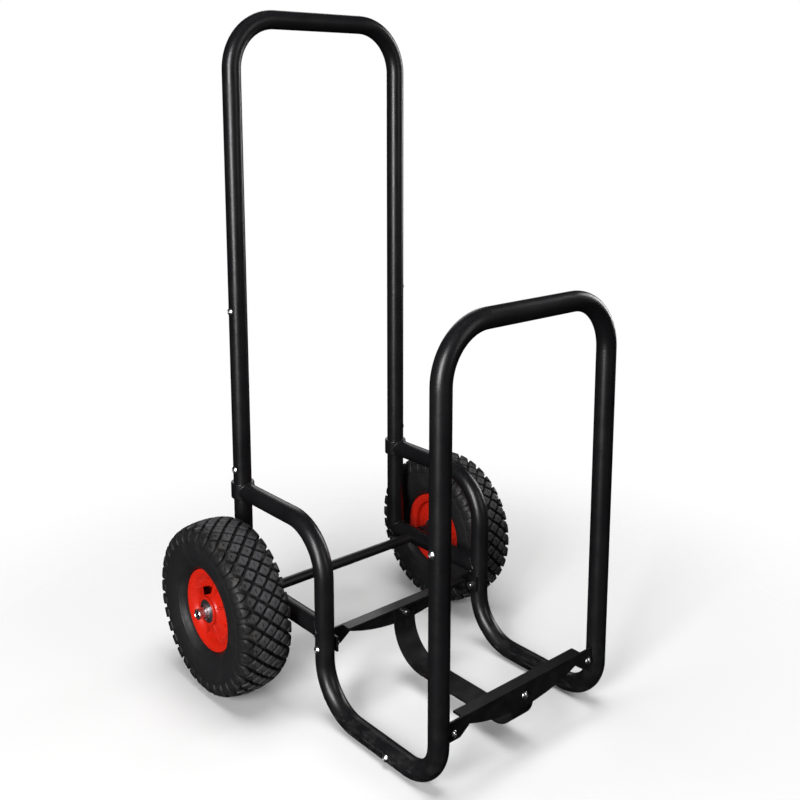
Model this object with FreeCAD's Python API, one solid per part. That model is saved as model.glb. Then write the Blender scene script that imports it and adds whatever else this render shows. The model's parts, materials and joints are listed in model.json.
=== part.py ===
import FreeCAD, Part
import math
import os

# Two-wheeled firewood log rack, in millimetres. +Z is up, -Y is the open front hoop,
# +X is the rack's right. The origin is on the ground under the centre of its box.

V = FreeCAD.Vector
X, Y, Z = V(1, 0, 0), V(0, 1, 0), V(0, 0, 1)
SIDES = (("left", -1), ("right", 1))

# ---- driving dimensions ---------------------------------------------------------------
# frame tube
tube_r = 14.0                # outside radius
tube_wall = 1.5
spigot_slip = 0.1            # radial slack of a swaged tube end inside the next tube
spigot_length = 36.0
neck_length = 8.0            # swaged length inside the parent tube
joint_step = 0.8             # small step round the end of an outer tube

# overall layout, measured from the plane of the front legs
track = 312.0                # between the centres of left and right tubes
post_setback = 450.0         # rear posts behind the front legs
rail_setback = 240.0         # upright part of the side rail
axle_setback = 398.0
handle_z = 994.0             # centre of the handle bar
hoop_z = 614.0               # centre of the front hoop's top bar
hoop_bend_r = 75.0

# joints between tubes, and how far each bolt stands beyond its joint line
handle_joint_z = 549.0
handle_bolt_rise = 14.0
post_joint_z = 293.0
post_bolt_rise = 21.0
hoop_joint_z = 314.0
hoop_bolt_rise = 19.0
foot_joint_setback = 104.0
foot_bolt_run = 15.0

# lower frame
foot_bend_r = 58.0
rail_bend_r = 74.0
arm_z = 279.0                # level side arm
post_foot_z = 116.0          # open lower end of the post
collar_r = 18.0
collar_z = (268.0, 293.0)
plug_rim = 3.0

# wheels and axle
tyre_r = 130.0
tyre_half_width = 42.5
wheel_x = 226.0
axle_r = 8.0
axle_half_length = 272.0
axle_bore_r = 6.5
hub_half_length = 30.0
hub_r = 21.5
bearing_r = 17.5
bearing_width = 11.0
ball_r = 2.75
ball_count = 8
ball_clearance = 0.05
axle_collar_r = 10.8
axle_collar_width = 3.2
collar_gap = 0.3

# tyre section and rim, as half widths and radii
bead_r = 51.0
flange_r = 62.0
well_r = 44.0
air_r = 32.0                 # radius of the air space's round section
air_middle_r = 88.0
disc_back_s = 14.0
back_web_s = (-12.5, -10.0)  # flat web that closes the inboard side
valve_angle = 25.0           # window and valve, tilted back from straight up
window_r = (23.0, 34.5)
window_half_width = (12.5, 17.5)
window_rib_turn = 28.0
rib_count = 8                # evenly spaced, the window takes the place of one

# braces and cradle strap
sheet = 3.0
brace_half = 141.0
brace_flange = 18.0
brace_bolt_drop = 18.0       # bolts below the top edge
front_brace_top_z = 98.0
rear_brace_top_z = 122.0
rear_brace_setback = 10.0    # rear face behind the middle of the side rails
brace_tab = 10.0             # half width of the tabs folded against the rails
lug_inner_x = 124.0
brace_bolt_x = 134.0
strap_width = 40.0
strap_z = 32.0

# bolts
bolt_r = 3.0
hole_r = 3.2
head_r = 6.0
head_height = 3.6
nut_flats = 10.0
nut_height = 5.0
rivet_nut_r = 4.2
rivet_nut_start = 4.5        # from the tube's axis
rivet_nut_length = 7.0
rivet_bulge_r = 5.6
rivet_bulge_start = 7.3
rivet_bulge_length = 2.0

# ---- derived places -------------------------------------------------------------------
bore_r = tube_r - tube_wall
half = track / 2
front_y = -(axle_setback + tyre_r - tube_r) / 2
post_y = front_y + post_setback
rail_y = front_y + rail_setback
axle_y = front_y + axle_setback
axle_z = tyre_r
bearing_start = hub_half_length - bearing_width
ball_pitch_r = (bearing_r + axle_r) / 2
race_gap = 1.75              # each race's distance from the ball pitch circle
spigot_r = bore_r - spigot_slip
front_brace_y = front_y - 1.5 * sheet
rear_brace_y = rail_y + rear_brace_setback
front_bolt_z = front_brace_top_z - brace_bolt_drop
rear_bolt_z = rear_brace_top_z - brace_bolt_drop


# ---- shape helpers --------------------------------------------------------------------
def cylinder(r, start, direction, length):
    return Part.makeCylinder(r, length, start, direction)


def pipe(r_out, r_in, start, direction, length):
    return cylinder(r_out, start, direction, length).cut(cylinder(r_in, start, direction, length))


def box(x0, x1, y0, y1, z0, z1):
    return Part.makeBox(x1 - x0, y1 - y0, z1 - z0, V(x0, y0, z0))


def bent_wire(points, radius):
    """Straight runs through the points, joined by tangent arcs of one radius."""
    edges = []
    start = points[0]
    for before, corner, after in zip(points, points[1:], points[2:]):
        u = (before - corner).normalize()
        w = (after - corner).normalize()
        opening = u.getAngle(w)
        reach = radius / math.tan(opening / 2)
        to_middle = radius / math.sin(opening / 2) - radius
        arc_in = corner + u * reach
        arc_out = corner + w * reach
        middle = corner + (u + w).normalize() * to_middle
        if (arc_in - start).Length > 1e-6:
            edges.append(Part.makeLine(start, arc_in))
        edges.append(Part.Arc(arc_in, middle, arc_out).toShape())
        start = arc_out
    edges.append(Part.makeLine(start, points[-1]))
    return Part.Wire(edges)


def swept(profile, path):
    return path.makePipeShell([profile], True, False)


def bent_rod(path, r):
    start = path.Vertexes[0].Point
    heading = path.Edges[0].tangentAt(path.Edges[0].FirstParameter)
    return swept(Part.Wire(Part.makeCircle(r, start, heading)), path)


def bent_tube(path):
    return bent_rod(path, tube_r).cut(bent_rod(path, bore_r))


def spigot(end, direction):
    """Swaged end that slips into the next tube."""
    neck = pipe(bore_r + 0.5, spigot_r - tube_wall, end - direction * neck_length, direction, neck_length)
    tail = pipe(spigot_r, spigot_r - tube_wall, end, direction, spigot_length)
    return neck.fuse(tail)


def joint_line(end, into_tube):
    """Cutter for the small step round a tube's end that shows as a line where two tubes meet."""
    return pipe(tube_r + 1, tube_r - joint_step, end, into_tube, joint_step)


def outer_hole(x, y, z, r=hole_r):
    """Hole through the outboard wall of a tube."""
    return cylinder(r, V(x, y, z), outboard(x), tube_r + 2)


def cross_hole(x, y, z):
    """Clearance hole for a bolt that crosses a tube from side to side."""
    return cylinder(hole_r, V(x - tube_r - 2, y, z), X, 2 * tube_r + 4)


def outboard(x):
    return X if x > 0 else -X


def bolt(seat, direction, grip):
    """Domed bolt with a hexagon socket: its head sits on seat, its shank runs along direction."""
    dome_r = (head_r ** 2 + head_height ** 2) / (2 * head_height)
    dome = Part.makeSphere(dome_r, seat - direction * head_height + direction * dome_r)
    head = dome.common(cylinder(head_r, seat - direction * head_height, direction, head_height))
    socket = hexagon(4.0, seat - direction * head_height, direction, 2.0)
    shank = cylinder(bolt_r, seat, direction, grip + nut_height + 1)
    return head.fuse(shank).cut(socket)


def hexagon(flats, start, direction, length):
    side = V(0, 0, 1) if abs(direction.z) < 0.5 else V(1, 0, 0)
    other = direction.cross(side)
    corner_r = flats / math.sqrt(3)
    turns = [math.radians(60 * k) for k in range(7)]
    corners = [start + (side * math.cos(a) + other * math.sin(a)) * corner_r for a in turns]
    return Part.Face(Part.makePolygon(corners)).extrude(direction * length)


def nut(seat, direction):
    blank = hexagon(nut_flats, seat, direction, nut_height)
    crown = cylinder(nut_flats / 2 + 0.4, seat, direction, nut_height)
    return blank.common(crown).cut(cylinder(bolt_r, seat, direction, nut_height))


def rivet_nut(axis_point, outward):
    """Threaded insert set in a spigot's wall, its bulge gripping the inside."""
    body = cylinder(rivet_nut_r, axis_point + outward * rivet_nut_start, outward, rivet_nut_length)
    bulge = cylinder(rivet_bulge_r, axis_point + outward * rivet_bulge_start, outward, rivet_bulge_length)
    return body.fuse(bulge).cut(cylinder(bolt_r, axis_point, outward, tube_r))


def revolved(outline):
    """Solid of revolution about the wheel axis from a closed outline of edges."""
    face = Part.Face(Part.Wire(outline))
    return face.revolve(V(0, 0, 0), X, 360)


def outline_through(points):
    corners = [V(s, 0, r) for s, r in points]
    return Part.makePolygon(corners + corners[:1]).Edges


def arc(a, b, c):
    return Part.Arc(V(a[0], 0, a[1]), V(b[0], 0, b[1]), V(c[0], 0, c[1])).toShape()


def line(a, b):
    return Part.makeLine(V(a[0], 0, a[1]), V(b[0], 0, b[1]))


def ring(r_in, r_out, s0, s1):
    return pipe(r_out, r_in, V(s0, 0, 0), X, s1 - s0)


def place_wheel_part(shape, side):
    """Moves a piece drawn about the origin, outboard towards +X, to its side of the axle."""
    if side < 0:
        shape = shape.mirror(V(0, 0, 0), X)
    shape.translate(V(side * wheel_x, axle_y, axle_z))
    return shape


# ---- tube frame -----------------------------------------------------------------------
def inverted_u(y, bottom_z, top_z, bolt_rise):
    corners = [V(-half, y, bottom_z), V(-half, y, top_z), V(half, y, top_z), V(half, y, bottom_z)]
    hoop = bent_tube(bent_wire(corners, hoop_bend_r))
    for _, side in SIDES:
        hoop = hoop.cut(outer_hole(side * half, y, bottom_z + bolt_rise))
        hoop = hoop.cut(joint_line(V(side * half, y, bottom_z), Z))
    return hoop


def rear_post(x):
    post = pipe(tube_r, bore_r, V(x, post_y, post_joint_z), Z, handle_joint_z - post_joint_z)
    post = post.fuse(spigot(V(x, post_y, handle_joint_z), Z))
    post = post.cut(outer_hole(x, post_y, handle_joint_z + handle_bolt_rise, rivet_nut_r))
    return post.cut(outer_hole(x, post_y, post_joint_z + post_bolt_rise))


def lower_post(x):
    post = pipe(tube_r, bore_r, V(x, post_y, post_foot_z), Z, post_joint_z - post_foot_z)
    post = post.fuse(spigot(V(x, post_y, post_joint_z), Z))
    return post.cut(outer_hole(x, post_y, post_joint_z + post_bolt_rise, rivet_nut_r))


def post_plug(x):
    rim = cylinder(tube_r, V(x, post_y, post_foot_z - plug_rim), Z, plug_rim)
    rim = rim.makeFillet(1.5, [e for e in rim.Edges if abs(e.BoundBox.ZMax - rim.BoundBox.ZMin) < 1e-6])
    stem = pipe(bore_r, bore_r - 2, V(x, post_y, post_foot_z), Z, 12)
    return rim.fuse(stem)


def arm_collar(x):
    low, high = collar_z
    sleeve = pipe(collar_r, tube_r, V(x, post_y, low), Z, high - low)
    outer = [e for e in sleeve.Edges if abs(e.BoundBox.XLength - 2 * collar_r) < 0.1]
    return sleeve.makeFillet(1.5, [e for e in outer if e.BoundBox.ZLength < 0.1])


def side_rail(x):
    joint_y = front_y + foot_joint_setback
    corners = [V(x, joint_y, tube_r), V(x, rail_y, tube_r), V(x, rail_y, arm_z), V(x, post_y, arm_z)]
    rail = bent_tube(bent_wire(corners, rail_bend_r))
    rail = rail.cut(cylinder(collar_r, V(x, post_y, collar_z[0] - 20), Z, 80))
    rail = rail.fuse(spigot(V(x, joint_y, tube_r), -Y))
    rail = rail.cut(outer_hole(x, joint_y - foot_bolt_run, tube_r, rivet_nut_r))
    return rail.cut(cross_hole(x, rail_y, rear_bolt_z))


def axle_strut(x):
    """Level tube welded between rail and post, drilled for the axle."""
    strut = pipe(tube_r, bore_r, V(x, rail_y, axle_z), Y, post_y - rail_y)
    for end_y in (rail_y, post_y):
        strut = strut.cut(cylinder(tube_r, V(x, end_y, axle_z - 40), Z, 80))
    return strut.cut(cylinder(axle_r, V(x - 20, axle_y, axle_z), X, 40))


def front_foot(x):
    joint_y = front_y + foot_joint_setback
    corners = [V(x, front_y, hoop_joint_z), V(x, front_y, tube_r), V(x, joint_y, tube_r)]
    foot = bent_tube(bent_wire(corners, foot_bend_r))
    foot = foot.fuse(spigot(V(x, front_y, hoop_joint_z), Z))
    foot = foot.cut(outer_hole(x, front_y, hoop_joint_z + hoop_bolt_rise, rivet_nut_r))
    foot = foot.cut(joint_line(V(x, joint_y, tube_r), -Y))
    return foot.cut(outer_hole(x, joint_y - foot_bolt_run, tube_r))


# ---- braces and strap -----------------------------------------------------------------
def brace(y_outer, inward, top, bolt_xs):
    """Pressed cross plate with a belly below and a flange folded inward along its top."""
    ear_low, waist, belly = top - 27, top - 15, top - 34
    ear_in, belly_end = 122.0, 105.0
    lower = [V(-brace_half, y_outer, ear_low), V(-ear_in, y_outer, ear_low), V(-belly_end, y_outer, waist)]
    edges = Part.makePolygon(lower).Edges
    edges.append(Part.Arc(lower[-1], V(0, y_outer, belly), V(belly_end, y_outer, waist)).toShape())
    rest = [V(belly_end, y_outer, waist), V(ear_in, y_outer, ear_low), V(brace_half, y_outer, ear_low),
            V(brace_half, y_outer, top), V(-brace_half, y_outer, top), V(-brace_half, y_outer, ear_low)]
    edges += Part.makePolygon(rest).Edges
    web = Part.Face(Part.Wire(edges)).extrude(V(0, inward * sheet, 0))
    flange_y = sorted((y_outer, y_outer + inward * brace_flange))
    plate = web.fuse(box(-118, 118, flange_y[0], flange_y[1], top - sheet, top))
    for x in bolt_xs:
        plate = plate.cut(cylinder(hole_r, V(x, y_outer - 10, top - brace_bolt_drop), Y, 20))
    return plate.removeSplitter()


def rear_brace():
    """Brace between the side rails, with end tabs folded forward against their inner sides."""
    plate = brace(rear_brace_y, -1, rear_brace_top_z, (0,))
    for _, side in SIDES:
        x0, x1 = sorted((side * (half - tube_r - sheet), side * (half - tube_r)))
        plate = plate.fuse(box(x0, x1, rail_y - brace_tab, rear_brace_y, rear_bolt_z - 9, rear_bolt_z + 14))
    return plate.cut(cylinder(hole_r, V(-half, rail_y, rear_bolt_z), X, track)).removeSplitter()


def front_brace_lugs():
    """Two small plates welded to the inner sides of the front legs, one for each brace end."""
    lugs = []
    for _, side in SIDES:
        x0, x1 = sorted((side * lug_inner_x, side * (half - 10)))
        lug = box(x0, x1, front_y - sheet / 2, front_y + sheet / 2, front_bolt_z - 9, front_bolt_z + 13)
        lug = lug.cut(cylinder(tube_r, V(side * half, front_y, front_bolt_z - 30), Z, 60))
        lugs.append(lug.cut(cylinder(hole_r, V(side * brace_bolt_x, front_y - 5, front_bolt_z), Y, 10)))
    return Part.makeCompound(lugs)


def cradle_strap():
    """Flat bar bolted behind the middle of both braces, running under the load."""
    front_top, rear_top = front_brace_top_z - 6, rear_brace_top_z - 6
    front_r, rear_r = 34.0, 60.0
    rear_y = rear_brace_y - 1.5 * sheet
    wall = [V(0, front_y, front_top), V(0, front_y, strap_z), V(0, rail_y - 100, strap_z)]
    back = [V(0, rail_y - 100, strap_z), V(0, rear_y, strap_z), V(0, rear_y, rear_top)]
    path = Part.Wire(bent_wire(wall, front_r).Edges + bent_wire(back, rear_r).Edges)
    w, t = strap_width / 2, sheet / 2
    section = [V(-w, front_y - t, front_top), V(w, front_y - t, front_top),
               V(w, front_y + t, front_top), V(-w, front_y + t, front_top)]
    strap = swept(Part.makePolygon(section + section[:1]), path)
    strap = strap.cut(cylinder(hole_r, V(0, front_y - 5, front_bolt_z), Y, 10))
    return strap.cut(cylinder(hole_r, V(0, rear_y - 5, rear_bolt_z), Y, 10))


# ---- bolts and nuts -------------------------------------------------------------------
def tube_joint_fasteners(y, z):
    """Bolts with outboard heads and the rivet nuts inside the spigots, one of each a side."""
    bolts, nuts = [], []
    for _, side in SIDES:
        outward = X * side
        axis_point = V(side * half, y, z)
        bolts.append(bolt(axis_point + outward * tube_r, -outward, tube_r - rivet_nut_start - nut_height))
        nuts.append(rivet_nut(axis_point, outward))
    return Part.makeCompound(bolts), Part.makeCompound(nuts)


def bolted(seats, direction, grip):
    """Bolts with a nut each, all along one direction through the same thickness."""
    bolts = [bolt(seat, direction, grip) for seat in seats]
    nuts = [nut(seat + direction * grip, direction) for seat in seats]
    return bolts, nuts


def brace_fasteners():
    seats = [V(side * brace_bolt_x, front_brace_y, front_bolt_z) for _, side in SIDES]
    return [Part.makeCompound(group) for group in bolted(seats, Y, 2 * sheet)]


def strap_fasteners():
    front = bolted([V(0, front_brace_y, front_bolt_z)], Y, 2 * sheet)
    rear = bolted([V(0, rear_brace_y, rear_bolt_z)], -Y, 2 * sheet)
    return [Part.makeCompound(a + b) for a, b in zip(front, rear)]


def rail_fasteners():
    """Bolts right through the side rails into the rear brace's tabs."""
    groups = [bolted([V(side * (half + tube_r), rail_y, rear_bolt_z)], X * -side, 2 * tube_r + sheet)
              for _, side in SIDES]
    return [Part.makeCompound(a + b) for a, b in zip(*groups)]


# ---- axle -----------------------------------------------------------------------------
def axle():
    groove_s = wheel_x + hub_half_length + collar_gap + axle_collar_width + 0.1
    shaft = pipe(axle_r, axle_bore_r, V(-axle_half_length, 0, 0), X, 2 * axle_half_length)
    ends = [e for e in shaft.Edges if e.BoundBox.XLength < 0.01]
    shaft = shaft.makeChamfer(0.5, ends)
    for side in (-1, 1):
        start = groove_s if side > 0 else -groove_s - 1.3
        shaft = shaft.cut(ring(axle_r - 0.6, axle_r + 1, start, start + 1.3))
    shaft.translate(V(0, axle_y, axle_z))
    return shaft


def axle_collar():
    start = hub_half_length + collar_gap
    return ring(axle_r, axle_collar_r, start, start + axle_collar_width)


def retaining_ring():
    """Snap ring in the axle's groove, with a gap and two eyes."""
    start = hub_half_length + collar_gap + axle_collar_width + 0.2
    clip = ring(axle_r - 0.6, axle_r + 2.4, start, start + 1.1)
    clip = clip.cut(box(start - 1, start + 3, -2.0, 2.0, -axle_r - 6, 0))
    for side in (-1, 1):
        centre = V(start, side * 4.2, -axle_r - 1.6)
        eye = cylinder(2.2, centre, X, 1.1).cut(cylinder(axle_r - 0.6, V(start - 1, 0, 0), X, 4))
        clip = clip.fuse(eye).cut(cylinder(0.9, centre - X, X, 4))
    return clip


def axle_spacer(side):
    inner = half + tube_r
    outer = wheel_x - hub_half_length
    return pipe(12.0, axle_r, V(side * inner, axle_y, axle_z), X * side, outer - inner)


# ---- wheel, drawn about the origin with its outer face towards +X ------------------------
def tyre():
    bead_s, cut_s = 11.0, 23.9
    lift = air_middle_r - math.sqrt(air_r ** 2 - bead_s ** 2)
    half_profile = [(bead_s, lift), (bead_s, bead_r + 0.1), (cut_s, bead_r + 0.1), (cut_s, 62.6), (29, 64.5)]
    shoulder = (36.0, 119.0)
    tread = (32.0, 125.0)
    other = [(-s, r) for s, r in half_profile]
    edges = [line(a, b) for a, b in zip(half_profile, half_profile[1:])]
    edges.append(arc(half_profile[-1], (tyre_half_width, 92), shoulder))
    edges.append(line(shoulder, tread))
    edges.append(arc(tread, (0, tyre_r), (-tread[0], tread[1])))
    edges.append(line((-tread[0], tread[1]), (-shoulder[0], shoulder[1])))
    edges.append(arc((-shoulder[0], shoulder[1]), (-tyre_half_width, 92), other[-1]))
    edges += [line(a, b) for a, b in zip(other[::-1], other[::-1][1:])]
    edges.append(arc(other[0], (0, air_middle_r + air_r), half_profile[0]))
    return revolved(edges)


def valve_bore(r, inner, outer):
    bore = cylinder(r, V(-2, 0, inner), Z, outer - inner)
    bore.rotate(V(0, 0, 0), X, -valve_angle)
    return bore


def inner_tube():
    skin = Part.makeTorus(air_middle_r, air_r - 0.3, V(0, 0, 0), X)
    air = Part.makeTorus(air_middle_r, air_r - 2.0, V(0, 0, 0), X)
    return skin.cut(air).cut(valve_bore(4.05, 40, 70))


def rim():
    """Moulded rim: tyre seat outside, a valley inside the lip, then a cone that rises to the hub."""
    well_in = well_r - 3
    seat_in = bead_r - 3
    outer_face = [(24, flange_r), (27, flange_r), (27, 58), (25, 52), (22.5, seat_in), (19.5, 46), (18, 43.5),
                  (19, 40), (23.5, hub_r + 1.5), (26, hub_r), (hub_half_length, hub_r)]
    bore = [(hub_half_length, bearing_r), (bearing_start, bearing_r), (bearing_start, 14.5)]
    inner_face = [(-hub_half_length, hub_r), (disc_back_s + 5, hub_r), (disc_back_s + 3, hub_r + 2),
                  (disc_back_s, well_in), (-10.5, well_in), (-13.5, seat_in), (-24.5, seat_in), (-27, 57)]
    seat = [(-27, flange_r), (-24, flange_r), (-24, bead_r), (-13, bead_r), (-11, well_r), (11, well_r),
            (13, bead_r), (24, bead_r)]
    profile = seat + outer_face + bore + [(-s, r) for s, r in reversed(bore)] + inner_face
    body = revolved(outline_through(profile))
    body = body.fuse(ring(hub_r - 0.5, well_in + 0.5, *back_web_s))
    turn = 360.0 / rib_count
    for k in range(1, rib_count):
        body = body.fuse(rib(valve_angle + turn * k, hub_r - 0.5))
    for lean in (-window_rib_turn, window_rib_turn):
        body = body.fuse(rib(valve_angle + lean, window_r[1]))
    return body.cut(valve_window()).cut(valve_bore(4.2, 36, 50))


def rib(angle, root_r):
    """Low radial web on the outer face, from root_r to the valley inside the lip."""
    low, end_r = disc_back_s + 3, 47.0
    root_s = 26.5 - (root_r - hub_r) * 0.2
    web_outline = [V(low, -1.2, root_r), V(root_s, -1.2, root_r), V(22, -1.2, end_r), V(low, -1.2, end_r)]
    web = Part.Face(Part.makePolygon(web_outline + web_outline[:1])).extrude(V(0, 2.4, 0))
    web.rotate(V(0, 0, 0), X, -angle)
    return web


def valve_window():
    low, high = window_r
    narrow, wide = window_half_width
    corners = [V(0, -narrow, low), V(0, narrow, low), V(0, wide, high), V(0, -wide, high)]
    opening = Part.Face(Part.makePolygon(corners + corners[:1])).extrude(V(24, 0, 0))
    opening.translate(V(disc_back_s - 2, 0, 0))
    opening.rotate(V(0, 0, 0), X, -valve_angle)
    return opening


def valve_stem():
    return valve_bore(4.0, 30, 60).cut(valve_bore(1.2, 30, 60))


def valve_cap():
    cap = cylinder(5.2, V(-2, 0, 24.5), Z, 7.5).cut(cylinder(4.0, V(-2, 0, 30), Z, 4))
    cap.rotate(V(0, 0, 0), X, -valve_angle)
    return cap


def both_bearings(make_ring):
    middle = bearing_start + bearing_width / 2
    return [make_ring(s) for s in (-middle, middle)]


def outer_race(s):
    race = ring(ball_pitch_r + race_gap, bearing_r, s - bearing_width / 2, s + bearing_width / 2)
    return race.cut(Part.makeTorus(ball_pitch_r, ball_r + ball_clearance, V(s, 0, 0), X))


def shield(s):
    """Pressed cover over the balls, on the side of the bearing that faces out of the hub."""
    outward = 1 if s > 0 else -1
    start = s + outward * (bearing_width / 2 - 0.8)
    low, high = sorted((start, start + outward * 0.5))
    return ring(ball_pitch_r - race_gap + 0.15, ball_pitch_r + race_gap, low, high)


def inner_race(s):
    race = ring(axle_r, ball_pitch_r - race_gap, s - bearing_width / 2, s + bearing_width / 2)
    return race.cut(Part.makeTorus(ball_pitch_r, ball_r + ball_clearance, V(s, 0, 0), X))


def balls(s):
    turns = [2 * math.pi * k / ball_count for k in range(ball_count)]
    places = [V(s, ball_pitch_r * math.cos(a), ball_pitch_r * math.sin(a)) for a in turns]
    return Part.makeCompound([Part.makeSphere(ball_r, p) for p in places])


def hub_sleeve():
    return ring(axle_r, ball_pitch_r - race_gap, -bearing_start, bearing_start)


# ---- all nodes ------------------------------------------------------------------------
nodes = {
    "handle_hoop": inverted_u(post_y, handle_joint_z, handle_z, handle_bolt_rise),
    "front_hoop": inverted_u(front_y, hoop_joint_z, hoop_z, hoop_bolt_rise),
    "front_brace": brace(front_brace_y, 1, front_brace_top_z, (-brace_bolt_x, 0, brace_bolt_x)),
    "rear_brace": rear_brace(),
    "front_brace_lugs": front_brace_lugs(),
    "cradle_strap": cradle_strap(),
    "axle": axle(),
}

joint_places = {
    "handle_joint": (post_y, handle_joint_z + handle_bolt_rise),
    "post_joint": (post_y, post_joint_z + post_bolt_rise),
    "hoop_joint": (front_y, hoop_joint_z + hoop_bolt_rise),
    "foot_joint": (front_y + foot_joint_setback - foot_bolt_run, tube_r),
}
for joint, (y, z) in joint_places.items():
    nodes[joint + "_bolts"], nodes[joint + "_rivet_nuts"] = tube_joint_fasteners(y, z)
nodes["brace_bolts"], nodes["brace_nuts"] = brace_fasteners()
nodes["strap_bolts"], nodes["strap_nuts"] = strap_fasteners()
nodes["rail_bolts"], nodes["rail_nuts"] = rail_fasteners()

frame_pieces = {"rear_post": rear_post, "lower_post": lower_post, "post_plug": post_plug,
                "arm_collar": arm_collar, "side_rail": side_rail, "axle_strut": axle_strut,
                "front_foot": front_foot}
wheel_pieces = {"tyre": tyre, "inner_tube": inner_tube, "rim": rim, "valve_stem": valve_stem,
                "valve_cap": valve_cap, "hub_sleeve": hub_sleeve}
bearing_pieces = {"bearing_outer_rings": outer_race, "bearing_inner_rings": inner_race,
                  "bearing_balls": balls, "bearing_shields": shield}

for tag, side in SIDES:
    for name, make in frame_pieces.items():
        nodes[name + "_" + tag] = make(side * half)
    for name, make in wheel_pieces.items():
        nodes[name + "_" + tag] = place_wheel_part(make(), side)
    for name, make in bearing_pieces.items():
        nodes[name + "_" + tag] = place_wheel_part(Part.makeCompound(both_bearings(make)), side)
    nodes["axle_spacer_" + tag] = axle_spacer(side)

nodes["axle_collars"] = Part.makeCompound([place_wheel_part(axle_collar(), side) for _, side in SIDES])
nodes["retaining_rings"] = Part.makeCompound([place_wheel_part(retaining_ring(), side) for _, side in SIDES])

os.makedirs("parts", exist_ok=True)
for name, shape in nodes.items():
    shape.exportStep("parts/" + name + ".step")
    span = shape.BoundBox
    print(name, len(shape.Solids), shape.isValid(), round(shape.Volume), [round(v, 1) for v in (
        span.XMin, span.YMin, span.ZMin, span.XMax, span.YMax, span.ZMax)])
print(len(nodes), "nodes")
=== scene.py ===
import bpy
import bmesh
import json
import math
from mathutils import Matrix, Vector


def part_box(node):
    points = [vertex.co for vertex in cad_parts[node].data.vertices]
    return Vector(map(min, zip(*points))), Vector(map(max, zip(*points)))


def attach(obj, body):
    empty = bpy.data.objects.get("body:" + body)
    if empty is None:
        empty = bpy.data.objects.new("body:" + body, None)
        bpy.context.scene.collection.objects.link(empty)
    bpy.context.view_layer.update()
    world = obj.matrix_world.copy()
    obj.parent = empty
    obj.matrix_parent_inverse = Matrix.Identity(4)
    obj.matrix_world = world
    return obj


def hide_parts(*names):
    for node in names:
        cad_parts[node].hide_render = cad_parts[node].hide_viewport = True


# Two-wheeled firewood log rack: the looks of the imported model. Metres, +Z up, -Y is the front.

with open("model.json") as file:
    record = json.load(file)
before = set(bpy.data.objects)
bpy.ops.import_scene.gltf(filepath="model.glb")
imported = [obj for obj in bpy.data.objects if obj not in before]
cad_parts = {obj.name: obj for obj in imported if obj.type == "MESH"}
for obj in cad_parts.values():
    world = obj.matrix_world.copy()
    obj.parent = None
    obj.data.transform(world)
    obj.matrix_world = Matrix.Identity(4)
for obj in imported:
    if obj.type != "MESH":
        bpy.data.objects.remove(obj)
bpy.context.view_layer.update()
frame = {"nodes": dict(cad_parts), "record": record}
MM = 0.001
SIDES = (("left", -1), ("right", 1))


# ---- places read from the frame ---------------------------------------------------------
def centre_of(node):
    low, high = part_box(node)
    return (Vector(low) + Vector(high)) / 2


def size_of(node):
    low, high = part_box(node)
    return Vector(high) - Vector(low)


WHEEL = {tag: centre_of("tyre_" + tag) for tag, _ in SIDES}
HUB_HALF = size_of("rim_left").x / 2
POST = {tag: centre_of("rear_post_" + tag) for tag, _ in SIDES}
TUBE_R = size_of("rear_post_left").x / 2
COLLAR_R = size_of("arm_collar_left").x / 2
ARM_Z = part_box("side_rail_left")[1][2] - TUBE_R
RAIL_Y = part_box("axle_strut_left")[0][1]
AXLE_Z = WHEEL["left"].z


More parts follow.
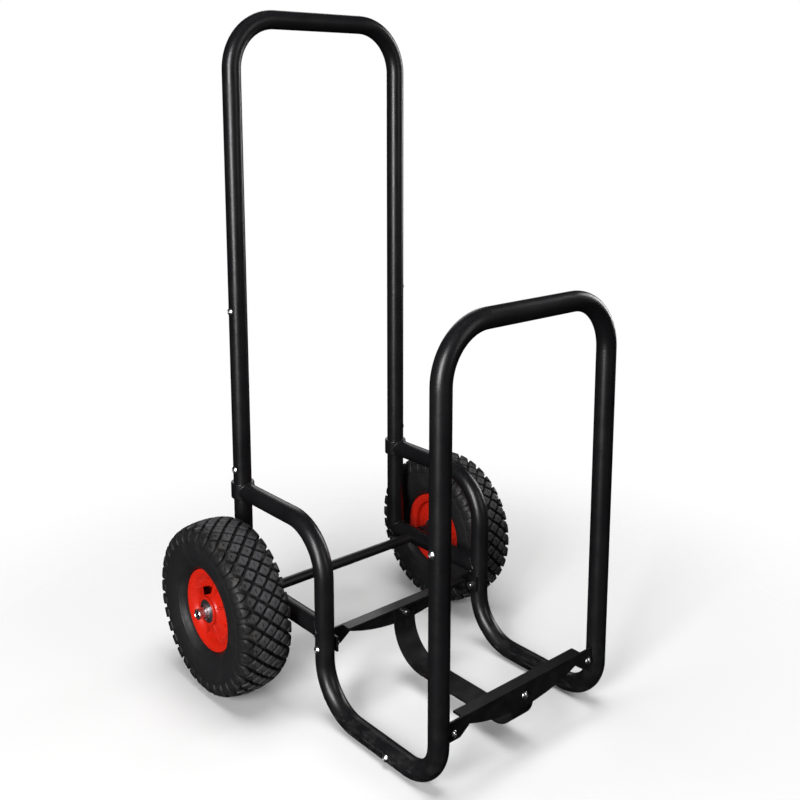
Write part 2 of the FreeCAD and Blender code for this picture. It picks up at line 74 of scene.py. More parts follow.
# ---- material building --------------------------------------------------------------------
class Surface:
    """A Principled material whose colour, roughness and bump are built up from object-space noise."""

    def __init__(self, name, colour, roughness, metallic=0.0, coat=0.0, coat_roughness=0.1, specular=0.5):
        self.material = bpy.data.materials.new(name)
        self.material.use_nodes = True
        self.tree = self.material.node_tree
        self.shader = self.tree.nodes["Principled BSDF"]
        self.shader.inputs["Metallic"].default_value = metallic
        self.shader.inputs["Coat Weight"].default_value = coat
        self.shader.inputs["Coat Roughness"].default_value = coat_roughness
        self.shader.inputs["Specular IOR Level"].default_value = specular
        self.where = self.add("ShaderNodeTexCoord").outputs["Object"]
        self.colour = self.constant_colour(colour)
        self.roughness = self.constant(roughness)
        self.height = None

    def add(self, kind, **inputs):
        node = self.tree.nodes.new(kind)
        for key, value in inputs.items():
            self.feed(node.inputs[key.replace("_", " ")], value)
        return node

    def feed(self, socket, value):
        if isinstance(value, bpy.types.NodeSocket):
            self.tree.links.new(value, socket)
        else:
            socket.default_value = value

    def constant_colour(self, rgb):
        node = self.add("ShaderNodeRGB")
        node.outputs[0].default_value = (*rgb, 1.0)
        return node.outputs[0]

    def constant(self, value):
        node = self.add("ShaderNodeValue")
        node.outputs[0].default_value = value
        return node.outputs[0]

    def noise(self, scale, detail=3.0, rough=0.55, stretch=(1, 1, 1)):
        place = self.add("ShaderNodeMapping", Vector=self.where, Scale=stretch)
        node = self.add("ShaderNodeTexNoise", Vector=place.outputs[0], Scale=scale, Detail=detail,
                        Roughness=rough)
        return node.outputs["Fac"]

    def cells(self, scale):
        node = self.add("ShaderNodeTexVoronoi", Vector=self.where, Scale=scale)
        return node.outputs["Distance"]

    def ramp(self, value, low, high, to_low=0.0, to_high=1.0):
        node = self.tree.nodes.new("ShaderNodeMapRange")
        for index, item in enumerate((value, low, high, to_low, to_high)):
            self.feed(node.inputs[index], item)
        return node.outputs[0]

    def math(self, operation, a, b=0.0):
        node = self.tree.nodes.new("ShaderNodeMath")
        node.operation = operation
        self.feed(node.inputs[0], a)
        self.feed(node.inputs[1], b)
        return node.outputs[0]

    def axis(self, name):
        return self.add("ShaderNodeSeparateXYZ", Vector=self.where).outputs[name]

    def blend_colour(self, mask, rgb):
        node = self.tree.nodes.new("ShaderNodeMix")
        node.data_type = "RGBA"
        self.feed(node.inputs["Factor"], mask)
        self.feed(node.inputs[6], self.colour)
        self.feed(node.inputs[7], (*rgb, 1.0))
        self.colour = node.outputs[2]

    def blend_roughness(self, mask, value):
        node = self.tree.nodes.new("ShaderNodeMix")
        self.feed(node.inputs[0], mask)
        self.feed(node.inputs[2], self.roughness)
        self.feed(node.inputs[3], value)
        self.roughness = node.outputs[0]

    def vary_roughness(self, noise, amount):
        swing = self.ramp(noise, 0.3, 0.7, -amount, amount)
        self.roughness = self.math("ADD", self.roughness, swing)

    def bump(self, height, depth):
        """Adds a height, in metres, on top of what is there."""
        node = self.add("ShaderNodeBump", Height=height, Distance=depth, Strength=1.0)
        if self.height is not None:
            self.feed(node.inputs["Normal"], self.height)
        self.height = node.outputs["Normal"]

    def done(self):
        self.feed(self.shader.inputs["Base Color"], self.colour)
        self.feed(self.shader.inputs["Roughness"], self.roughness)
        if self.height is not None:
            self.feed(self.shader.inputs["Normal"], self.height)
        return self.material


def powder_coat():
    """Satin black powder coat: fine orange peel, faint dust low down, scuffs where it meets the ground."""
    s = Surface("black_powder_coat", (0.0026, 0.0026, 0.003), 0.33, specular=0.24)
    s.blend_colour(s.ramp(s.noise(14, 4), 0.42, 0.72, 0.0, 0.55), (0.0055, 0.0055, 0.006))
    s.vary_roughness(s.noise(35, 4), 0.05)
    height = s.axis("Z")
    near_ground = s.ramp(height, 0.03, 0.0)
    dust = s.math("MULTIPLY", s.ramp(height, 0.16, 0.0), s.ramp(s.noise(60, 5), 0.48, 0.75, 0.0, 0.10))
    s.blend_colour(dust, (0.085, 0.08, 0.072))
    s.blend_roughness(dust, 0.7)
    scuffs = s.math("MULTIPLY", near_ground, s.ramp(s.noise(420, 3, stretch=(1, 0.15, 1)), 0.56, 0.66))
    s.blend_colour(s.math("MULTIPLY", scuffs, 0.2), (0.19, 0.185, 0.18))
    s.bump(s.noise(900, 2), 0.00008)
    s.bump(s.noise(260, 2), 0.00010)
    return s.done()


def zinc_plate():
    """Bright zinc with a soft mottle and fine turning lines."""
    s = Surface("zinc_plate", (0.72, 0.72, 0.735), 0.26, metallic=1.0)
    s.blend_colour(s.ramp(s.noise(220, 4), 0.42, 0.7, 0.0, 0.6), (0.56, 0.57, 0.60))
    s.blend_colour(s.ramp(s.noise(60, 3), 0.6, 0.78, 0.0, 0.25), (0.50, 0.46, 0.40))
    s.vary_roughness(s.noise(300, 4), 0.08)
    s.bump(s.noise(1500, 2), 0.00003)
    return s.done()


def axle_metal():
    """Zinc at the free ends, near-black between the wheels, with a ragged border beside the spacers."""
    s = Surface("axle_metal", (0.62, 0.62, 0.635), 0.27)
    s.vary_roughness(s.noise(200, 3, stretch=(0.1, 1, 1)), 0.03)
    across = s.math("ABSOLUTE", s.axis("X"))
    zinc_ends = s.ramp(s.math("ADD", across, s.ramp(s.noise(400, 4), 0.3, 0.7, -0.002, 0.002)), 0.2395, 0.2405)
    # near-black, rougher, non-metallic middle between the wheels; zinc only beyond |x| = 0.24 m
    dark_middle = s.math("SUBTRACT", 1.0, zinc_ends)
    s.blend_colour(dark_middle, (0.0035, 0.0035, 0.004))
    s.blend_roughness(dark_middle, 0.36)
    s.bump(s.noise(600, 2), 0.00002)
    material = s.done()
    s.feed(s.shader.inputs["Metallic"], zinc_ends)
    return material


def bearing_steel():
    """Ground steel with faint concentric lines."""
    s = Surface("bearing_steel", (0.42, 0.42, 0.43), 0.34, metallic=1.0)
    s.blend_colour(s.ramp(s.noise(220, 3), 0.4, 0.75, 0.0, 0.5), (0.34, 0.34, 0.36))
    s.vary_roughness(s.noise(260, 3), 0.04)
    s.bump(s.noise(1800, 2), 0.00003)
    return s.done()


def wheel_radius(s):
    """Distance from the axle, in metres, as a node value."""
    y = s.math("SUBTRACT", s.axis("Y"), WHEEL["left"].y)
    z = s.math("SUBTRACT", s.axis("Z"), WHEEL["left"].z)
    return s.math("SQRT", s.math("ADD", s.math("MULTIPLY", y, y), s.math("MULTIPLY", z, z)))


def tyre_rubber():
    """Black rubber: matt sidewall, greyer block tops, groove floors lightened by dust and by a painted sheen.
    """
    s = Surface("tyre_rubber", (0.0070, 0.0070, 0.0075), 0.46, specular=0.13)
    radius = wheel_radius(s)
    tops = s.ramp(radius, 0.1262, 0.1292)
    worn = s.math("MULTIPLY", tops, s.ramp(s.noise(160, 5), 0.3, 0.75, 0.45, 1.0))
    s.blend_colour(worn, (0.034, 0.034, 0.036))
    s.blend_colour(s.ramp(s.noise(38, 4), 0.52, 0.78, 0.0, 0.30), (0.020, 0.019, 0.018))
    # groove floors: a lighter dusty grey that is partly real dust and partly a painted sheen for light caught
    # on the groove floors
    outer = s.ramp(radius, 0.112, 0.124)
    dust = s.ramp(s.noise(90, 5), 0.50, 0.72, 0.0, 0.22)
    groove_dust_and_sheen = s.math("MULTIPLY", s.math("SUBTRACT", outer, tops), dust)
    s.blend_colour(groove_dust_and_sheen, (0.10, 0.092, 0.08))
    s.blend_roughness(tops, 0.68)
    s.vary_roughness(s.noise(120, 4), 0.07)
    s.bump(s.noise(1100, 3), 0.00010)
    s.bump(s.noise(210, 3), 0.00022)
    return s.done()


def tube_rubber():
    s = Surface("tube_rubber", (0.018, 0.018, 0.019), 0.5)
    s.blend_colour(s.ramp(s.noise(80, 4), 0.45, 0.75, 0.0, 0.5), (0.03, 0.03, 0.03))
    s.vary_roughness(s.noise(200, 3), 0.06)
    s.bump(s.noise(900, 2), 0.00006)
    return s.done()


def red_rim():
    """Glossy red moulding with a slight sink texture and a mottle of lighter and darker red."""
    s = Surface("red_rim", (0.29, 0.0070, 0.0025), 0.30, specular=0.2)
    s.blend_colour(s.ramp(s.noise(26, 4), 0.45, 0.75, 0.0, 0.6), (0.34, 0.010, 0.003))
    s.blend_colour(s.ramp(s.noise(240, 4), 0.66, 0.80, 0.0, 0.35), (0.20, 0.006, 0.003))
    s.vary_roughness(s.noise(80, 4), 0.06)
    s.bump(s.noise(150, 2), 0.00012)
    s.bump(s.noise(1200, 2), 0.00003)
    return s.done()


def black_plastic():
    s = Surface("black_plastic", (0.018, 0.018, 0.018), 0.5)
    s.blend_colour(s.ramp(s.noise(90, 4), 0.5, 0.8, 0.0, 0.4), (0.035, 0.034, 0.033))
    s.vary_roughness(s.noise(150, 3), 0.06)
    s.bump(s.cells(1400), 0.00006)
    return s.done()


MATERIALS = {
    "black_powder_coat": powder_coat(),
    "zinc_hardware": zinc_plate(),
    "axle_steel": axle_metal(),
    "bearing_steel": bearing_steel(),
    "tyre_rubber": tyre_rubber(),
    "tube_rubber": tube_rubber(),
    "red_rim": red_rim(),
    "black_plastic": black_plastic(),
}


# ---- finish of the carried CAD nodes ------------------------------------------------------
def dress_nodes():
    for part in frame["record"]["subparts"]:
        piece = frame["nodes"][part["node"]]
        piece.data.materials.clear()
        piece.data.materials.append(MATERIALS[part["material_slot"]])


# ---- mesh helpers -------------------------------------------------------------------------
def outward_mesh(name, verts, faces):
    """Mesh with its faces turned outward."""
    mesh = bpy.data.meshes.new(name)
    mesh.from_pydata(verts, [], faces)
    shell = bmesh.new()
    shell.from_mesh(mesh)
    bmesh.ops.recalc_face_normals(shell, faces=shell.faces)
    shell.to_mesh(mesh)
    shell.free()
    return mesh


def make_piece(name, verts, faces, slot, body, sharp_degrees=40):
    """A smooth-shaded mesh piece that rides on a body."""
    mesh = outward_mesh(name, verts, faces)
    mesh.shade_smooth()
    mesh.set_sharp_from_angle(angle=math.radians(sharp_degrees))
    mesh.materials.append(MATERIALS[slot])
    piece = bpy.data.objects.new(name, mesh)
    bpy.context.scene.collection.objects.link(piece)
    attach(piece, body)
    return piece


def on_wheel(tag, side, s, r, turn):
    """A point of a wheel: s outboard of its middle plane, r from the axle, turned from +Z to the rear."""
    middle = WHEEL[tag]
    return Vector((middle.x + side * s, middle.y + r * math.sin(turn), middle.z + r * math.cos(turn)))


def lathe(profile, steps, place):
    """Turns a closed profile of (s, r) round the axle."""
    verts = [place(s, r, 2 * math.pi * k / steps) for k in range(steps) for s, r in profile]
    count = len(profile)
    faces = []
    for k in range(steps):
        here, there = k * count, ((k + 1) % steps) * count
        for i in range(count):
            j = (i + 1) % count
            faces.append((here + i, here + j, there + j, there + i))
    return verts, faces


def smooth_path(points, per_span):
    """Catmull-Rom curve through the points."""
    ends = [points[0], *points, points[-1]]
    path = []
    for a, b, c, d in zip(ends, ends[1:], ends[2:], ends[3:]):
        for k in range(per_span):
            t = k / per_span
            path.append(tuple(
                0.5 * (2 * q + (r - p) * t + (2 * p - 5 * q + 4 * r - s) * t ** 2
                       + (3 * q - p - 3 * r + s) * t ** 3)
                for p, q, r, s in zip(a, b, c, d)))
    path.append(points[-1])
    return path


def rounded(points, passes):
    """Corner cutting that keeps both ends."""
    for _ in range(passes):
        cut = [points[0]]
        for (s0, r0), (s1, r1) in zip(points, points[1:]):
            cut.append((0.75 * s0 + 0.25 * s1, 0.75 * r0 + 0.25 * r1))
            cut.append((0.25 * s0 + 0.75 * s1, 0.25 * r0 + 0.75 * r1))
        points = cut + [points[-1]]
    return points


# ---- tyres ----------------------------------------------------------------------------------
TREAD_PITCHES = 34           # blocks round the tyre in each row
ROW_STEP = 12.0              # mm between rows of blocks, half a pitch each way
BLOCK_REACH = 8.75           # half diagonal of a block
BLOCK_TIP = 0.75             # half width of its cut-off corners
BLOCK_HEIGHT = 5.4
SLIT_ROW, SLIT_COLUMN = 3, 2  # the cell of a block's top grid that is sunk as its slit
SLIT_DEPTH = 1.5
SIDEWALL = [(0, 124.6), (12, 124.0), (24, 122.2), (33, 119.0), (37.8, 114.0), (40.0, 107.0), (41.3, 99.0),
            (41.6, 91.0), (40.5, 81.0), (37.0, 71.5), (31.5, 65.5), (27.8, 63.2)]
RIDGES = [(43.5, 0.5), (46.0, 0.35), (55.5, 0.45), (57.5, 0.45), (84.0, 0.5)]   # along the section, height


class TyreSection:
    """The tyre's outer curve without its tread, measured in mm from the crown."""

    def __init__(self):
        mirrored = [(-s, r) for s, r in SIDEWALL[:0:-1]]
        self.path = smooth_path(mirrored + SIDEWALL, 12)
        middle = min(range(len(self.path)), key=lambda i: abs(self.path[i][0]))
        self.run = [0.0]
        for (s0, r0), (s1, r1) in zip(self.path, self.path[1:]):
            self.run.append(self.run[-1] + math.hypot(s1 - s0, r1 - r0))
        crown = self.run[middle]
        self.run = [x - crown for x in self.run]
        self.reach = self.run[-1]

    def at(self, t, lift=0.0):
        """Point at distance t round the section, lifted off the surface."""
        i = 0
        while i < len(self.run) - 2 and self.run[i + 1] < t:
            i += 1
        (s0, r0), (s1, r1) = self.path[i], self.path[i + 1]
        span = self.run[i + 1] - self.run[i]
        share = (t - self.run[i]) / span
        normal = ((r0 - r1) / span, (s1 - s0) / span)
        return s0 + (s1 - s0) * share + normal[0] * lift, r0 + (r1 - r0) * share + normal[1] * lift


def carcass_profile(section):
    """Closed profile: sidewalls and crown with their ridges, beads, and the wall of the air space."""
    steps = 150
    outside = []
    for k in range(steps + 1):
        t = section.reach * (2 * k / steps - 1)
        lift = sum(h * math.exp(-((abs(t) - at) / 0.8) ** 2) for at, h in RIDGES)
        outside.append(section.at(t, lift))
    cavity_r, cavity_middle, bead_s = 32.0, 88.0, 11.0
    start = math.asin(bead_s / cavity_r)
    inside = []
    for k in range(25):
        turn = start + (2 * math.pi - 2 * start) * k / 24
        inside.append((cavity_r * math.sin(turn), cavity_middle - cavity_r * math.cos(turn)))
    bead_out, bead_foot = 23.9, 51.1
    right_bead = [(bead_out, 62.5), (bead_out, 53.0), (bead_out - 1.5, bead_foot), (bead_s, bead_foot)]
    left_bead = [(-s, r) for s, r in reversed(right_bead)]
    return outside + right_bead + inside + left_bead


def block_height(t):
    """Blocks stand full height on the crown and thin out down the shoulder."""
    return BLOCK_HEIGHT - max(0.0, abs(t) - 34.5) * 0.24


def diamond_rows(t0):
    low, high = BLOCK_REACH - BLOCK_TIP, BLOCK_REACH - BLOCK_TIP - 0.8
    offsets = (-low, -high, -4.0, -BLOCK_TIP, BLOCK_TIP, 4.0, high, low)
    return [(t0 + d, BLOCK_REACH - max(abs(d), BLOCK_TIP)) for d in offsets]


def lug_rows(side):
    """A half diamond whose foot runs on over the shoulder as a square lug."""
    t0 = 3 * ROW_STEP
    half = [(t, w) for t, w in diamond_rows(t0) if t < t0]
    foot = [(37.5, 8.3), (41.5, 7.9), (45.5, 7.3), (49.6, 6.7), (50.6, 6.3)]
    rows = half + foot
    return [(side * t, w) for t, w in rows][::side]


def tread_block(section, rows, turn, place):
    """A closed block: top grid with a short slit, bevelled rim, drafted walls, foot sunk in the carcass."""
    columns = (-1.0, -0.86, -0.32, 0.32, 0.86, 1.0)
    pitch_angle = 2 * math.pi / TREAD_PITCHES / (2 * ROW_STEP)
    bevel, sink, draft = 0.8, 0.8, 1.06
    verts = []

    def add(t, u, lift):
        s, r = section.at(t, lift)
        verts.append(place(s, r, turn + u * pitch_angle))
        return len(verts) - 1

    last = len(rows) - 1
    grid = []
    for i, (t, width) in enumerate(rows):
        line = []
        for c in columns:
            edge = i in (0, last) or abs(c) == 1.0
            line.append(add(t, c * width, block_height(t) - (bevel if edge else 0.0)))
        grid.append(line)
    faces = [(grid[i][j], grid[i][j + 1], grid[i + 1][j + 1], grid[i + 1][j])
             for i in range(last) for j in range(len(columns) - 1) if (i, j) != (SLIT_ROW, SLIT_COLUMN)]
    mouth = [(SLIT_ROW, SLIT_COLUMN), (SLIT_ROW, SLIT_COLUMN + 1),
             (SLIT_ROW + 1, SLIT_COLUMN + 1), (SLIT_ROW + 1, SLIT_COLUMN)]
    bottom = []
    for i, j in mouth:
        t, width = rows[i]
        bottom.append(add(t, columns[j] * width, block_height(t) - SLIT_DEPTH))
    lip = [grid[i][j] for i, j in mouth]
    faces += [(lip[k - 1], lip[k], bottom[k], bottom[k - 1]) for k in range(4)]
    faces.append(tuple(bottom))
    rim = [(0, j) for j in range(len(columns))]
    rim += [(i, len(columns) - 1) for i in range(1, last + 1)]
    rim += [(last, j) for j in range(len(columns) - 2, -1, -1)]
    rim += [(i, 0) for i in range(last - 1, 0, -1)]
    middle_t = (rows[0][0] + rows[-1][0]) / 2
    foot = []
    for i, j in rim:
        t, width = rows[i]
        foot.append(add(middle_t + (t - middle_t) * draft, columns[j] * width * draft, -sink))
    top = [grid[i][j] for i, j in rim]
    faces += [(top[k], top[k - 1], foot[k - 1], foot[k]) for k in range(len(top))]
    faces.append(tuple(foot))
    return verts, faces


def treaded_tyre(tag, side):
    section = TyreSection()

    def place(s, r, turn):
        return on_wheel(tag, side, s * MM, r * MM, turn)

    verts, faces = lathe(carcass_profile(section), TREAD_PITCHES * 7, place)
    patterns = [(diamond_rows(k * ROW_STEP), 0.5 * (k % 2)) for k in range(-2, 3)]
    patterns += [(lug_rows(end), 0.5) for end in (-1, 1)]
    for rows, phase in patterns:
        for k in range(TREAD_PITCHES):
            turn = 2 * math.pi * (k + phase) / TREAD_PITCHES
            block_verts, block_faces = tread_block(section, rows, turn, place)
            base = len(verts)
            verts += block_verts
            faces += [tuple(base + i for i in face) for face in block_faces]
    tyre = make_piece("treaded_tyre_" + tag, verts, faces, "tyre_rubber", "wheel_" + tag, 38)
    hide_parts("tyre_" + tag)
    return tyre


# ---- rims -----------------------------------------------------------------------------------
RIB_COUNT = 8
WINDOW_TURN = math.radians(25)
WINDOW_R = (23.0, 34.5)
WINDOW_HALF_WIDTH = (12.5, 17.5)
WINDOW_RIB_LEAN = math.radians(28)
HUB_R = 21.5


def rim_profile():
    bearing_r, seat_in = 17.5, 48.0
    hub_s = HUB_HALF / MM
    lip = rounded([(24, 61.2), (24.2, 62), (26.6, 62), (27, 61.4), (27, 58), (25.4, 53), (23.6, 50),
                   (20.5, 46.6), (18.2, 44.4), (18.2, 41), (20.4, 33), (23.3, 24.5), (25.6, 22.4),
                   (26.4, HUB_R), (29.2, HUB_R), (hub_s, HUB_R - 0.8), (hub_s, 18.1)], 2)
    bearing_start = hub_s - 11
    bore = [(hub_s - 0.6, bearing_r), (bearing_start, bearing_r), (bearing_start, 14.5)]
    bore += [(-s, r) for s, r in reversed(bore)]
    back = rounded([(-hub_s, 18.1), (-hub_s, HUB_R - 0.8), (-hub_s + 0.8, HUB_R), (-13, HUB_R), (-12.5, 22.5),
                    (-12.5, 41), (-13.5, seat_in), (-22.5, seat_in), (-25, 52), (-27, 58), (-27, 61.4),
                    (-26.6, 62), (-24.2, 62), (-24, 61.2)], 2)
    seat = [(-24, 51), (-13, 51), (-11, 44), (11, 44), (13, 51), (24, 51)]
    return lip + bore + back + seat


def face_s(r):
    """Height of the rim's cone at radius r."""
    return 25.0 - (r - HUB_R) * 0.34


def rim_rib(place, turn, root_r, end_r=48.6):
    """Low rounded rib from the cone to the wall inside the lip, its foot sunk in the moulding."""
    across = ((-1.8, 0.0), (-1.2, 0.78), (-0.5, 1.0), (0.5, 1.0), (1.2, 0.78), (1.8, 0.0))
    count = len(across)
    stations = 9
    verts, faces = [], []
    for k in range(stations):
        r = root_r + (end_r - root_r) * k / (stations - 1)
        low, crest = face_s(min(r, 44.0)) - 1.5, 25.6 - (r - HUB_R) * 0.13
        verts += [place(low + (crest - low) * lift, r, turn + u / r) for u, lift in across]
    for k in range(stations - 1):
        for i in range(count):
            j = (i + 1) % count
            faces.append((k * count + i, k * count + j, (k + 1) * count + j, (k + 1) * count + i))
    faces.append(tuple(range(count)))
    faces.append(tuple((stations - 1) * count + i for i in range(count)))
    return verts, faces


def window_prism(tag, side):
    """Rounded trapezoid through the rim's face, wide side outward."""
    low, high = WINDOW_R
    narrow, wide = WINDOW_HALF_WIDTH
    corners = [(-narrow, low), (narrow, low), (wide, high), (-wide, high)]
    outline = []
    for (u0, r0), (u1, r1) in zip(corners, corners[1:] + corners[:1]):
        reach = 2.2 / math.hypot(u1 - u0, r1 - r0)
        outline += [(u0 + (u1 - u0) * share, r0 + (r1 - r0) * share)
                    for share in (reach * 0.25, reach, 1 - reach, 1 - reach * 0.25)]
    middle = WHEEL[tag]
    verts = []
    for s in (6.0, 34.0):
        for u, r in outline:
            y = u * math.cos(WINDOW_TURN) + r * math.sin(WINDOW_TURN)
            z = r * math.cos(WINDOW_TURN) - u * math.sin(WINDOW_TURN)
            verts.append((middle.x + side * s * MM, middle.y + y * MM, middle.z + z * MM))
    n = len(outline)
    faces = [tuple(range(n)), tuple(range(n, 2 * n))]
    faces += [(i, (i + 1) % n, n + (i + 1) % n, n + i) for i in range(n)]
    return verts, faces


def cut_away(piece, verts, faces):
    """Takes a closed solid out of a piece."""
    mesh = outward_mesh("cutter", verts, faces)
    cutter = bpy.data.objects.new("cutter", mesh)
    bpy.context.scene.collection.objects.link(cutter)
    cut = piece.modifiers.new("cut", "BOOLEAN")
    cut.object, cut.operation, cut.solver = cutter, "DIFFERENCE", "EXACT"
    apply_modifiers(piece)
    bpy.data.objects.remove(cutter)
    bpy.data.meshes.remove(mesh)


def dished_rim(tag, side):
    def place(s, r, turn):
        return on_wheel(tag, side, s * MM, r * MM, turn)

    rim = make_piece("dished_rim_" + tag, *lathe(rim_profile(), 128, place), "red_rim", "wheel_" + tag, 35)
    hollow = [(20.0, HUB_R), (22.4, 23.0), (16.4, 41), (-10, 41), (-10, HUB_R)]
    cut_away(rim, *lathe(hollow, 128, place))
    cut_away(rim, *window_prism(tag, side))
    add_ribs(rim, place)
    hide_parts("rim_" + tag)
    return rim


def add_ribs(rim, place):
    """Seven full ribs; two short ones frame the window that stands where the eighth would be."""
    step = 2 * math.pi / RIB_COUNT
    ribs = [rim_rib(place, WINDOW_TURN + step * k, HUB_R + 0.3) for k in range(1, RIB_COUNT)]
    ribs += [rim_rib(place, WINDOW_TURN + lean, WINDOW_R[1] + 3)
             for lean in (-WINDOW_RIB_LEAN, WINDOW_RIB_LEAN)]
    shell = bmesh.new()
    shell.from_mesh(rim.data)
    for verts, faces in ribs:
        made = [shell.verts.new(v) for v in verts]
        new_faces = [shell.faces.new([made[i] for i in face]) for face in faces]
        bmesh.ops.recalc_face_normals(shell, faces=new_faces)
    shell.to_mesh(rim.data)
    shell.free()
    rim.data.shade_smooth()
    rim.data.set_sharp_from_angle(angle=math.radians(35))


def apply_modifiers(piece):
    graph = bpy.context.evaluated_depsgraph_get()
    baked = bpy.data.meshes.new_from_object(piece.evaluated_get(graph))
    old = piece.data
    piece.modifiers.clear()
    piece.data = baked
    bpy.data.meshes.remove(old)


# ---- welds ----------------------------------------------------------------------------------
def weld_bead(name, path, closed, radius=0.0017):
    """A rippled bead along a path of points, ends tapered when it is open."""
    ring = 8
    count = len(path)
    verts = []
    for k, point in enumerate(path):
        before = path[k - 1] if closed or k else point
        after = path[(k + 1) % count] if closed or k < count - 1 else point
        along = (after - before).normalized()
        side = along.orthogonal().normalized()
        other = along.cross(side)
        ripple = 1.0 + 0.16 * math.cos(math.pi * k)
        taper = 1.0 if closed else min(1.0, 0.35 + 0.5 * min(k, count - 1 - k))
        for j in range(ring):
            a = 2 * math.pi * j / ring
            verts.append(point + (side * math.cos(a) + other * math.sin(a)) * radius * ripple * taper)
    faces = []
    for k in range(count if closed else count - 1):
        here, there = k * ring, ((k + 1) % count) * ring
        for j in range(ring):
            i = (j + 1) % ring
            faces.append((here + j, here + i, there + i, there + j))
    if not closed:
        faces.append(tuple(range(ring)))
        faces.append(tuple((count - 1) * ring + j for j in range(ring)))
    return make_piece(name, verts, faces, "black_powder_coat", "frame", 60)


def tube_on_tube(x, y, z, upright_r, facing, points=56):
    """Path round a level tube where it meets an upright one, on its front (-1) or rear (+1) side."""
    path = []
    for k in range(points):
        a = 2 * math.pi * k / points
        across = TUBE_R * math.sin(a)
        reach = math.sqrt(max(upright_r ** 2 - across ** 2, 0.0))
        path.append(Vector((x + across, y + facing * reach, z + TUBE_R * math.cos(a))))
    return path


def welds():
    for tag, side in SIDES:
        post = POST[tag]
        weld_bead("arm_weld_" + tag, tube_on_tube(post.x, post.y, ARM_Z, COLLAR_R, -1), True)
        weld_bead("strut_post_weld_" + tag, tube_on_tube(post.x, post.y, AXLE_Z, TUBE_R, -1), True)
        weld_bead("strut_rail_weld_" + tag, tube_on_tube(post.x, RAIL_Y, AXLE_Z, TUBE_R, 1), True)
        low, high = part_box("front_brace_lugs")
        rise, y = high[2] - low[2], (low[1] + high[1]) / 2
        for face in (-1, 1):
            x = side * (high[0] - 0.0002)
            path = [Vector((x, y + face * 0.0015, low[2] + rise * (0.06 + 0.88 * k / 10)))
                    for k in range(11)]
            weld_bead(f"lug_weld_{tag}_{'back' if face > 0 else 'face'}", path, False, 0.0013)


# ---- stage, lights, camera ------------------------------------------------------------------
FLOOR_RADIUS = 6.0
FLOOR_FADE = (0.35, 1.0)     # metres from the middle of the rack
FLOOR_TONE = 0.42


def floor():
    """Pale floor that fades into the white surroundings; reflections pass it by."""
    mesh = bpy.data.meshes.new("floor")
    rings, steps = 6, 96
    verts = [(0.0, 0.0, 0.0)]
    for k in range(1, rings + 1):
        radius = FLOOR_RADIUS * (k / rings) ** 2
        for j in range(steps):
            a = 2 * math.pi * j / steps
            verts.append((radius * math.cos(a), radius * math.sin(a), 0.0))
    faces = [(0, 1 + j, 1 + (j + 1) % steps) for j in range(steps)]
    for k in range(rings - 1):
        a, b = 1 + k * steps, 1 + (k + 1) * steps
        faces += [(a + j, b + j, b + (j + 1) % steps, a + (j + 1) % steps) for j in range(steps)]
    mesh.from_pydata(verts, [], faces)
    material = bpy.data.materials.new("pale_floor")
    material.use_nodes = True
    tree = material.node_tree
    shader = tree.nodes["Principled BSDF"]
    shader.inputs["Base Color"].default_value = (FLOOR_TONE, FLOOR_TONE, FLOOR_TONE, 1)
    shader.inputs["Roughness"].default_value = 0.75
    shader.inputs["Specular IOR Level"].default_value = 0.2
    place = tree.nodes.new("ShaderNodeTexCoord")
    length = tree.nodes.new("ShaderNodeVectorMath")
    length.operation = "LENGTH"
    fade = tree.nodes.new("ShaderNodeMapRange")
    fade.interpolation_type = "SMOOTHSTEP"
    fade.inputs["From Min"].default_value = FLOOR_FADE[0]
    fade.inputs["From Max"].default_value = FLOOR_FADE[1]
    clear = tree.nodes.new("ShaderNodeBsdfTransparent")
    mix = tree.nodes.new("ShaderNodeMixShader")
    tree.links.new(place.outputs["Object"], length.inputs[0])
    tree.links.new(length.outputs["Value"], fade.inputs["Value"])
    tree.links.new(fade.outputs[0], mix.inputs[0])
    tree.links.new(shader.outputs[0], mix.inputs[1])
    tree.links.new(clear.outputs[0], mix.inputs[2])
    tree.links.new(mix.outputs[0], tree.nodes["Material Output"].inputs["Surface"])
    mesh.materials.append(material)
    ground = bpy.data.objects.new("floor", mesh)
    bpy.context.scene.collection.objects.link(ground)
    ground.visible_glossy = False


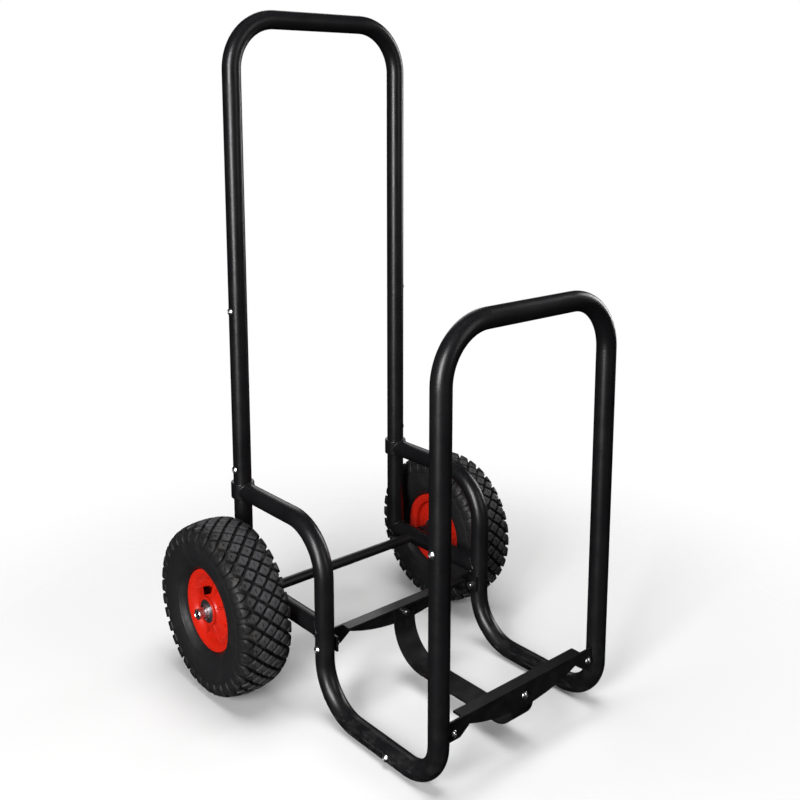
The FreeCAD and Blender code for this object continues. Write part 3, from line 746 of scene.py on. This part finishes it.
def area_light(name, at, aim, size, power):
    data = bpy.data.lights.new(name, "AREA")
    data.shape = "RECTANGLE"
    data.size, data.size_y = size
    data.energy = power
    light = bpy.data.objects.new(name, data)
    light.location = at
    light.rotation_mode = "QUATERNION"
    light.rotation_quaternion = (Vector(aim) - Vector(at)).to_track_quat("-Z", "Y")
    bpy.context.scene.collection.objects.link(light)
    return light


def lights():
    """Soft studio lights; the white surroundings light nothing, so black tubes stay black."""
    area_light("key_strip", (-2.7, -1.2, 1.2), (0, 0, 0.5), (0.9, 2.2), 230)
    area_light("front_fill", (0.9, -3.0, 1.6), (0, 0, 0.4), (0.9, 2.0), 22)
    area_light("back_fill", (1.6, 2.6, 1.7), (0, 0, 0.5), (1.4, 2.0), 18)
    area_light("right_fill", (2.9, -0.1, 1.2), (0, 0, 0.4), (0.8, 2.0), 50)
    softbox = area_light("top_softbox", (-0.2, -0.1, 2.6), (0, 0, 0), (1.6, 1.6), 100)
    softbox.visible_glossy = False
    world = bpy.data.worlds.new("white_studio")
    bpy.context.scene.world = world
    world.use_nodes = True
    world.node_tree.nodes["Background"].inputs["Color"].default_value = (1, 1, 1, 1)
    world.node_tree.nodes["Background"].inputs["Strength"].default_value = 1.0
    world.cycles_visibility.glossy = False
    world.cycles_visibility.diffuse = False


CAMERA_AT = (-0.959, -1.1156, 0.8745)
CAMERA_LEFT_TURN = math.radians(-40.708)      # from looking along +Y
CAMERA_DIP = math.radians(9.892)
CAMERA_LENS = 46.08
CAMERA_SHIFT_UP = -0.15


def camera():
    data = bpy.data.cameras.new("camera")
    data.sensor_width = 36.0
    data.lens = CAMERA_LENS
    data.shift_y = CAMERA_SHIFT_UP
    eye = bpy.data.objects.new("camera", data)
    eye.location = CAMERA_AT
    eye.rotation_euler = (math.radians(90) - CAMERA_DIP, 0, CAMERA_LEFT_TURN)
    bpy.context.scene.collection.objects.link(eye)
    bpy.context.scene.camera = eye


dress_nodes()
for tag, side in SIDES:
    treaded_tyre(tag, side)
    dished_rim(tag, side)
welds()
floor()
lights()
camera()
bpy.context.scene.view_settings.view_transform = "Standard"
